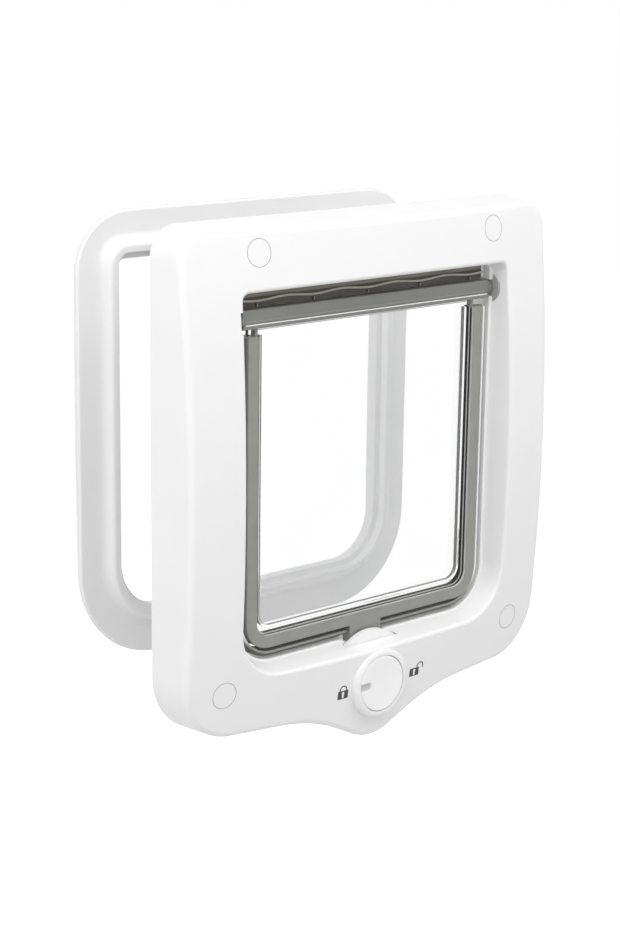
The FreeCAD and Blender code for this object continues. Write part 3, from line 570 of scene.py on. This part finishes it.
@dataclass
class PadlockSign:
    """A printed padlock: a body with a keyhole, and a closed or swung-out shackle.

    The shares place the corners of the body's outline, as parts of its half width and half
    height, and the keyhole has as many corners, so that the two loops can be bridged.
    """

    state: SignState
    x: float
    z: float
    width: float = 6.1 * MM
    height: float = 4.1 * MM
    foot_shares: tuple[float, ...] = (-1.0, 0.0, 1.0)
    side_shares: tuple[float, ...] = (-0.4, 0.2)
    top_shares: tuple[float, ...] = (1.0, 0.35, -0.35, -1.0)
    shackle_r: float = 1.95 * MM
    shackle_steps: int = 14
    bar: float = 0.6 * MM
    leg: float = 0.35 * MM
    open_leg: float = 1.2 * MM
    open_overlap: float = 0.6 * MM
    keyhole_r: float = 0.85 * MM
    keyhole_rise: float = 0.7 * MM
    keyhole_angles: tuple[float, ...] = (-40, 0, 35, 70, 110, 145, 180, 220)
    key_width: float = 1.1 * MM
    key_drop: float = 1.6 * MM
    thickness: float = 0.06 * MM
    merge: float = 0.001 * MM

    def build(self, surface: FaceSurface, ink: Material) -> None:
        """Makes the sign on the face.

        Args:
            surface: the face that it is printed on.
            ink: the print's finish.
        """
        shape = bmesh.new()
        self._body(shape)
        self._shackle(shape)
        self._lay(shape, surface)
        add_piece(f"padlock_sign_{self.state.value}", shape, ink, Body.FRAME)

    def _body(self, shape: BMesh) -> None:
        """Adds the padlock's body as a flat ring about its keyhole.

        Args:
            shape: the flat mesh, in X and Z about the sign's own centre.
        """
        half_w = self.width / 2
        half_h = self.height / 2
        outer = [(half_w * share, -half_h) for share in self.foot_shares]
        outer += [(half_w, half_h * share) for share in self.side_shares]
        outer += [(half_w * share, half_h) for share in self.top_shares]
        outer += [(-half_w, half_h * share) for share in reversed(self.side_shares)]
        half_key = self.key_width / 2
        inner = [(half_key * share, -self.key_drop) for share in self.foot_shares]
        for turn in map(math.radians, self.keyhole_angles):
            across = self.keyhole_r * math.cos(turn)
            inner.append((across, self.keyhole_rise + self.keyhole_r * math.sin(turn)))
        rings = []
        for ring in (outer, inner):
            corners = [shape.verts.new((x, 0, z)) for x, z in ring]
            rings += [shape.edges.new((corners[i], corners[i - 1])) for i in range(len(corners))]
        bmesh.ops.bridge_loops(shape, edges=rings)

    def _shackle(self, shape: BMesh) -> None:
        """Adds the shackle: a half ring on two legs, moved over and up when open.

        Args:
            shape: the flat mesh.
        """
        is_open = self.state is SignState.OPEN
        shift = self.width / 2 + self.open_overlap if is_open else 0.0
        high = self.height / 2 + self.leg
        inner = self.shackle_r - self.bar / 2
        outer = self.shackle_r + self.bar / 2
        centre = Vector((shift, 0, high))
        start = [shape.verts.new(centre + Vector((radius, 0, 0))) for radius in (inner, outer)]
        edge = shape.edges.new(start)
        bmesh.ops.spin(
            shape, geom=start + [edge], cent=centre, axis=(0, -1, 0), angle=math.pi,
            steps=self.shackle_steps, use_merge=False,
        )
        for side in (-1, 1):
            low = high - (self.open_leg if is_open and side > 0 else self.leg)
            near = shift + side * inner
            far = shift + side * outer
            corners = ((near, high), (far, high), (far, low), (near, low))
            shape.faces.new([shape.verts.new((x, 0, z)) for x, z in corners])

    def _lay(self, shape: BMesh, surface: FaceSurface) -> None:
        """Lays the flat sign on the face and gives the ink its thickness.

        Args:
            shape: the flat mesh.
            surface: the face.
        """
        bmesh.ops.remove_doubles(shape, verts=shape.verts, dist=self.merge)
        bmesh.ops.triangulate(shape, faces=shape.faces)
        bmesh.ops.subdivide_edges(shape, edges=shape.edges, cuts=1, use_grid_fill=True)
        grown = bmesh.ops.extrude_face_region(shape, geom=shape.faces[:])["geom"]
        raised = {item for item in grown if isinstance(item, BMVert)}
        for vertex in shape.verts:
            x = vertex.co.x + self.x
            z = vertex.co.z + self.z
            lift = self.thickness if vertex in raised else -self.thickness / 2
            vertex.co = Vector((x, surface.depth(x, z) - lift, z))


@dataclass
class CapJoint:
    """The fine joint line round a screw cap, as a grey ring that paints the shade in the gap.

    Its level follows the face's slope between the radii near and far, which clear the cap's
    own recess.
    """

    name: str
    x: float
    z: float
    inner_r: float = 5.93 * MM
    outer_r: float = 6.22 * MM
    sides: int = 48
    lift: float = 0.03 * MM
    near: float = 6.6 * MM
    far: float = 7.2 * MM

    def build(self, surface: FaceSurface, material: Material) -> None:
        """Makes the ring on the face.

        Args:
            surface: the face about the cap.
            material: the ring's finish.
        """
        shape = bmesh.new()
        bmesh.ops.create_circle(shape, segments=self.sides, radius=self.inner_r)
        grown = bmesh.ops.extrude_edge_only(shape, edges=shape.edges[:])["geom"]
        rim = [item for item in grown if isinstance(item, BMVert)]
        bmesh.ops.scale(shape, verts=rim, vec=(self.outer_r / self.inner_r,) * 3)
        grown = bmesh.ops.extrude_face_region(shape, geom=shape.faces[:])["geom"]
        raised = {item for item in grown if isinstance(item, BMVert)}
        for vertex in shape.verts:
            across, up = vertex.co.x, vertex.co.y
            reach = math.hypot(across, up)
            near, far = [
                surface.depth(self.x + across * ring / reach, self.z + up * ring / reach)
                for ring in (self.near, self.far)
            ]
            level = near + (near - far) * (self.near - reach) / (self.far - self.near)
            lift = self.lift if vertex in raised else -self.lift
            vertex.co = Vector((self.x + across, level - lift, self.z + up))
        add_piece(self.name, shape, material, Body.FRAME)


@dataclass
class InsideFrame:
    """The inside frame with its caps, seals and printed signs."""

    palette: Palette
    # The strip's wavy lip, whose lighter colour is painted highlight.
    lip: AcrossLine = AcrossLine(
        half=73.3 * MM, low=172.75 * MM, high=173.7 * MM, front=-14.15 * MM, back=-13.9 * MM,
        wave=0.5 * MM, steps=72,
    )
    # A thin sheet of painted light over the dark strip's upper part.
    painted_light_band: AcrossLine = AcrossLine(
        half=73.5 * MM, low=174.45 * MM, high=176.55 * MM, front=-13.08 * MM, back=-12.95 * MM,
    )
    peg_sleeve: AcrossLine = AcrossLine(
        half=0.3 * MM, low=169.99 * MM, high=171.5 * MM, front=-13.9 * MM, back=-12.9 * MM,
    )
    peg_places: tuple[float, ...] = (-65.35 * MM, -32.75 * MM, -0.15 * MM, 32.45 * MM, 65.05 * MM)
    # Painted shade: dark grey blocks beside the lock tab, standing in for the shade in the gap there.
    tab_gap_shade: AcrossLine = AcrossLine(
        half=1.35 * MM, low=8.9 * MM, high=13.3 * MM, front=-12.5 * MM, back=-10.5 * MM,
    )
    tab_gap_shade_places: tuple[float, ...] = (-11.7 * MM, 11.7 * MM)
    # The seal lips beside the flap; their finish paints highlight up the sides and shade at the foot.
    seal_lip: RoundLine = RoundLine(
        half=74.9 * MM, bottom=10.6 * MM, corner=18.6 * MM, top=156.8 * MM, thickness=1.2 * MM,
        front=-15.1 * MM, back=-12.7 * MM, gap=10.4 * MM,
    )
    locked_place: tuple[float, float] = (-22.0 * MM, -14.5 * MM)
    open_place: tuple[float, float] = (23.5 * MM, -13.4 * MM)

    def build(self) -> None:
        """Dresses the frame's pieces, and adds its seals, joints and signs."""
        white = self.palette.white.build()
        seal = self.palette.grey_seal.build()
        dress("front_frame", white)
        for place in CAP_PLACES:
            dress(f"cap_{place}", white)
        for side in SIDES:
            dress(f"seal_strip_{side}", seal)
        dress("draught_strip", self.palette.dark_strip.build())
        dress("frame_magnet", self.palette.magnet.build())
        dress("fixing_screws", self.palette.steel.build())
        self._seals()
        self._face()

    def _seals(self) -> None:
        """Adds the fine forms of the draught strip and the seal strips, with painted light and shade
        on them.
        """
        finishes = self.palette
        sleeves = self.peg_sleeve.repeated(self.peg_places)
        ends = self.tab_gap_shade.repeated(self.tab_gap_shade_places)
        pieces = (
            ("draught_strip_lip_highlight", self.lip.build(), finishes.strip_lip_highlight, "dark_strip"),
            ("draught_strip_sleeves", sleeves, finishes.dark_strip, "dark_strip"),
            ("tab_gap_shade_blocks", ends, finishes.grey_seal, "grey_seal"),
            ("draught_strip_painted_light", self.painted_light_band.build(), finishes.strip_painted_light, "dark_strip"),
        )
        for name, shape, finish, slot in pieces:
            add_piece(name, shape, finish.build(), Body.FRAME)
        for side, way in (("right", 1), ("left", -1)):
            shape = self.seal_lip.build()
            bmesh.ops.scale(shape, verts=shape.verts, vec=(way, 1, 1))
            lip = finishes.seal_lip.build()
            add_piece(f"seal_lip_{side}", shape, lip, Body.FRAME)

    def _face(self) -> None:
        """Adds the grey rings of painted shade round the caps, and the two signs on the face."""
        surface = FaceSurface()
        joint = self.palette.joint.build()
        for place in CAP_PLACES:
            low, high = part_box(f"cap_{place}")
            middle = (Vector(low) + Vector(high)) / 2
            CapJoint(f"cap_gap_shade_{place}", middle.x, middle.z).build(surface, joint)
        ink = self.palette.print_ink.build()
        PadlockSign(SignState.LOCKED, *self.locked_place).build(surface, ink)
        PadlockSign(SignState.OPEN, *self.open_place).build(surface, ink)


@dataclass
class Flap:
    """The hanging flap: hinge bar, band, clear pane and hinge pieces."""

    palette: Palette
    # A thin near-white strip along the bead's top: painted highlight.
    bead_highlight: AcrossLine = AcrossLine(
        half=74.0 * MM, low=162.6 * MM, high=163.1 * MM, front=-17.08 * MM, back=-16.2 * MM,
    )
    # A thin line in the band's lighter grey above the bar's groove: painted highlight.
    groove_highlight: AcrossLine = AcrossLine(
        half=74.0 * MM, low=164.1 * MM, high=164.45 * MM, front=-16.34 * MM, back=-16.2 * MM,
    )
    # A light line at the pane's top: painted highlight.
    pane_top_highlight: AcrossLine = AcrossLine(
        half=65.0 * MM, low=159.35 * MM, high=159.7 * MM, front=-11.95 * MM, back=-11.75 * MM,
    )
    # A near-black sheet lining the band's inner wall: painted shade.
    painted_shade: RoundLine = RoundLine(
        half=66.07 * MM, bottom=19.83 * MM, corner=7.47 * MM, top=157.3 * MM, thickness=0.75 * MM,
        front=-13.9 * MM, back=-11.82 * MM,
    )
    # A light ridge along the dark inner wall: painted highlight.
    liner_highlight: RoundLine = RoundLine(
        half=66.0 * MM, bottom=19.9 * MM, corner=7.4 * MM, top=157.3 * MM, thickness=0.66 * MM,
        front=-13.96 * MM, back=-13.84 * MM,
    )
    # A thin dark line in the band's inner wall: painted shade.
    groove_shade: RoundLine = RoundLine(
        half=66.14 * MM, bottom=19.76 * MM, corner=7.54 * MM, top=157.3 * MM, thickness=0.1 * MM,
        front=-15.1 * MM, back=-13.85 * MM,
    )
    # The band's inner front edge line: painted highlight.
    lip: RoundLine = RoundLine(
        half=66.14 * MM, bottom=19.76 * MM, corner=7.54 * MM, top=157.3 * MM, thickness=0.12 * MM,
        front=-16.2 * MM, back=-15.1 * MM,
    )
    # A thin grey sheet on the clear rim's inner wall: painted shade.
    rim_shade_line: RoundLine = RoundLine(
        half=62.32 * MM, bottom=23.58 * MM, corner=6.22 * MM, top=157.3 * MM, thickness=0.12 * MM,
        front=-13.3 * MM, back=-11.82 * MM,
    )

    def build(self) -> None:
        """Dresses the flap's pieces and the bearings that carry it, and adds fine lines that paint
        highlights and shade along its edges.
        """
        hinge = self.palette.grey_hinge.build()
        band = self.palette.grey_band.build()
        dress("hinge_bar", hinge)
        for side in SIDES:
            dress(f"hinge_bearing_{side}", self.palette.bearing.build())
            dress(f"hinge_pin_{side}", self.palette.steel.build())
        dress("flap_border", band)
        dress("flap_pane", self.palette.pane.build())
        dress("flap_magnet", self.palette.magnet.build())
        # dark, light and clear colour fine lines that paint shade and highlights on the flap's edges.
        dark = self.palette.painted_shade.build()
        light = self.palette.painted_highlight.build()
        clear = self.palette.bead_painted_highlight.build()
        lines = (
            ("hinge_bar_bead_highlight", self.bead_highlight, clear, "clear_pane"),
            ("hinge_bar_groove_highlight", self.groove_highlight, band, "grey_hinge"),
            ("pane_top_highlight", self.pane_top_highlight, light, "clear_pane"),
            ("pane_painted_shade", self.painted_shade, dark, "grey_band"),
            ("pane_liner_highlight", self.liner_highlight, light, "grey_band"),
            ("band_groove_shade", self.groove_shade, dark, "grey_band"),
            ("band_lip_highlight", self.lip, light, "grey_band"),
            ("pane_rim_shade_line", self.rim_shade_line, hinge, "clear_pane"),
        )
        for name, line, material, slot in lines:
            add_piece(name, line.build(), material, Body.FLAP)


@dataclass
class Lock:
    """The lock: knob, half-moon disc and what holds them."""

    palette: Palette

    def build(self) -> None:
        """Dresses the lock's pieces."""
        # The knob's finish carries painted shade in its notch.
        dress("lock_knob", self.palette.knob.build())
        dress("lock_disc", self.palette.white_lock.build())
        steel = self.palette.steel.build()
        dress("lock_washer", steel)
        dress("lock_screw", steel)


@dataclass
class OutsideFrame:
    """The frame on the door's far side."""

    palette: Palette

    def build(self) -> None:
        """Dresses the outside frame."""
        dress("rear_frame", self.palette.white_outer.build())


def towards(azimuth: float, elevation: float) -> Vector:
    """Gives the direction from the object to a place round it.

    Args:
        azimuth: degrees to the right of straight in front.
        elevation: degrees above the level.

    Returns:
        The direction, one unit long.
    """
    turn = math.radians(azimuth)
    lift = math.radians(elevation)
    level = math.cos(lift)
    return Vector((math.sin(turn) * level, -math.cos(turn) * level, math.sin(lift)))


@dataclass(frozen=True)
class SoftLamp:
    """A square soft box that looks at the middle of the object.

    Its angles are in degrees, its distance and size in metres and its power in watts. One that
    isn't mirrored lights the object, but gloss and glass don't show it.
    """

    name: str
    azimuth: float
    elevation: float
    distance: float
    size: float
    power: float
    mirrored: bool = True

    def build(self, target: Vector) -> None:
        """Adds the lamp.

        Args:
            target: the point that it looks at.
        """
        data = bpy.data.lights.new(self.name, "AREA")
        data.shape = "SQUARE"
        data.size = self.size
        data.energy = self.power
        lamp = bpy.data.objects.new(self.name, data)
        back = towards(self.azimuth, self.elevation)
        lamp.location = target + back * self.distance
        lamp.rotation_euler = back.to_track_quat("Z", "Y").to_euler()
        lamp.visible_glossy = self.mirrored
        lamp.visible_transmission = self.mirrored
        bpy.context.scene.collection.objects.link(lamp)


@dataclass
class Studio:
    """Plain pale studio: a white floor well below the object, soft lamps and an even sky.

    Ambient is the sky's strength as a light, and background is what the eye sees of it.
    """

    ambient: float = 0.25
    background: float = 1.0
    floor_drop: float = 0.3
    floor_size: float = 12.0
    floor_tone: float = 0.8
    floor_roughness: float = 0.9
    lamps: tuple[SoftLamp, ...] = (
        SoftLamp("front", azimuth=-10, elevation=30, distance=1.5, size=1.2, power=4.6),
        SoftLamp("upper_right", azimuth=30, elevation=60, distance=1.0, size=0.8, power=4.6),
        SoftLamp("upper_left", azimuth=-60, elevation=45, distance=0.9, size=0.6, power=2.4),
        SoftLamp("camera_side", azimuth=-41, elevation=14, distance=1.5, size=1.0, power=2.6),
        SoftLamp("left", azimuth=-100, elevation=10, distance=1.0, size=0.6, power=2.8),
        SoftLamp("right", azimuth=45, elevation=5, distance=0.8, size=0.5, power=0.6, mirrored=False),
        SoftLamp("back", azimuth=160, elevation=12, distance=1.3, size=0.8, power=4.5, mirrored=False),
    )

    def build(self) -> None:
        """Sets up the sky, the floor and the lamps."""
        low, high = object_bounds()
        target = (Vector(low) + Vector(high)) / 2
        self._sky()
        self._floor(low[2] - self.floor_drop)
        for lamp in self.lamps:
            lamp.build(target)
        bpy.context.scene.view_settings.view_transform = "Standard"

    def _either(self, tree: NodeTree, first: NodeSocket, second: NodeSocket) -> NodeSocket:
        """Adds the larger of two values.

        Args:
            tree: the node tree.
            first: one value.
            second: the other value.

        Returns:
            The larger value.
        """
        larger = tree.nodes.new("ShaderNodeMath")
        larger.operation = "MAXIMUM"
        tree.links.new(first, larger.inputs[0])
        tree.links.new(second, larger.inputs[1])
        return larger.outputs[0]

    def _mix(self, tree: NodeTree, share: NodeSocket, plain: Node, other: Node) -> Node:
        """Adds a mix of two shaders.

        Args:
            tree: the node tree.
            share: how much of the other shader shows.
            plain: the shader at a share of 0.
            other: the shader at a share of 1.

        Returns:
            The mix node.
        """
        mix = tree.nodes.new("ShaderNodeMixShader")
        tree.links.new(share, mix.inputs["Fac"])
        tree.links.new(plain.outputs[0], mix.inputs[1])
        tree.links.new(other.outputs[0], mix.inputs[2])
        return mix

    def _rays(self, tree: NodeTree) -> tuple[NodeSocket, NodeSocket]:
        """Adds what tells the kinds of rays apart.

        Args:
            tree: the node tree.

        Returns:
            A value of 1 for camera rays, and one for rays that gloss or glass sends on.
        """
        path = tree.nodes.new("ShaderNodeLightPath")
        glossy = path.outputs["Is Glossy Ray"]
        through = path.outputs["Is Transmission Ray"]
        return path.outputs["Is Camera Ray"], self._either(tree, glossy, through)

    def _sky(self) -> None:
        """Makes the world white to the eye, gloss and glass, and dimmer as a light."""
        world = bpy.data.worlds.new("studio_sky")
        world.use_nodes = True
        tree = world.node_tree
        lit = tree.nodes["Background"]
        lit.inputs["Color"].default_value = WHITE
        lit.inputs["Strength"].default_value = self.ambient
        seen = tree.nodes.new("ShaderNodeBackground")
        seen.inputs["Color"].default_value = WHITE
        seen.inputs["Strength"].default_value = self.background
        mix = self._mix(tree, self._either(tree, *self._rays(tree)), lit, seen)
        tree.links.new(mix.outputs[0], tree.nodes["World Output"].inputs["Surface"])
        bpy.context.scene.world = world

    def _floor(self, height: float) -> None:
        """Lays the floor.

        Args:
            height: the floor's z.
        """
        shape = bmesh.new()
        bmesh.ops.create_grid(shape, x_segments=1, y_segments=1, size=self.floor_size / 2)
        bmesh.ops.translate(shape, verts=shape.verts, vec=(0, 0, height))
        data = bpy.data.meshes.new("floor")
        shape.to_mesh(data)
        shape.free()
        data.materials.append(self._floor_finish())
        floor = bpy.data.objects.new("floor", data)
        bpy.context.scene.collection.objects.link(floor)
        floor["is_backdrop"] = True

    def _floor_finish(self) -> Material:
        """Makes the floor's matt white, lifted for the eye by what the even sky leaves short of white.

        Returns:
            The floor's material.
        """
        material = bpy.data.materials.new("studio_floor")
        material.use_nodes = True
        tree = material.node_tree
        matt = tree.nodes["Principled BSDF"]
        matt.inputs["Base Color"].default_value = (self.floor_tone,) * 3 + (1,)
        matt.inputs["Roughness"].default_value = self.floor_roughness
        matt.inputs["Specular IOR Level"].default_value = 0.0
        lift = tree.nodes.new("ShaderNodeEmission")
        lift.inputs["Strength"].default_value = self.background - self.floor_tone * self.ambient
        white = tree.nodes.new("ShaderNodeEmission")
        white.inputs["Strength"].default_value = self.background
        lifted = tree.nodes.new("ShaderNodeAddShader")
        tree.links.new(matt.outputs[0], lifted.inputs[0])
        tree.links.new(lift.outputs[0], lifted.inputs[1])
        camera, mirrored = self._rays(tree)
        seen = self._mix(tree, camera, matt, lifted)
        mix = self._mix(tree, mirrored, seen, white)
        tree.links.new(mix.outputs[0], tree.nodes["Material Output"].inputs["Surface"])
        return material


@dataclass(frozen=True)
class PhotoCamera:
    """The camera, where the photograph was taken from.

    Its angles are in degrees, and its focal length is in pixels of the photograph, whose long
    side is long_side_px. The sensor's long side is in millimetres, as Blender takes it.
    """

    place: tuple[float, float, float] = (-620.8 * MM, -685.5 * MM, 316.0 * MM)
    azimuth: float = -41.16
    elevation: float = 13.93
    roll: float = 0.80
    focal_px: float = 2035.8
    long_side_px: int = 930
    sensor: float = 36.0
    clip_start: float = 50 * MM

    def build(self) -> None:
        """Adds the camera and makes it the scene's own."""
        turn = math.radians(self.azimuth)
        back = towards(self.azimuth, self.elevation)
        tilt = Matrix.Rotation(math.radians(self.roll), 3, back)
        right = tilt @ Vector((math.cos(turn), math.sin(turn), 0))
        up = back.cross(right)
        data = bpy.data.cameras.new("photo_camera")
        data.sensor_width = self.sensor
        data.lens = self.focal_px / self.long_side_px * self.sensor
        data.clip_start = self.clip_start
        camera = bpy.data.objects.new("photo_camera", data)
        camera.matrix_world = Matrix((
            (right.x, up.x, back.x, self.place[0]),
            (right.y, up.y, back.y, self.place[1]),
            (right.z, up.z, back.z, self.place[2]),
            (0, 0, 0, 1),
        ))
        bpy.context.scene.collection.objects.link(camera)
        bpy.context.scene.camera = camera


def main() -> None:
    """Builds every sub-assembly in order."""
    logging.basicConfig(level=logging.INFO, format="%(name)s: %(message)s")
    palette = Palette()
    InsideFrame(palette).build()
    Flap(palette).build()
    Lock(palette).build()
    OutsideFrame(palette).build()
    Studio().build()
    PhotoCamera().build()


if __name__ == "__main__":
    main()
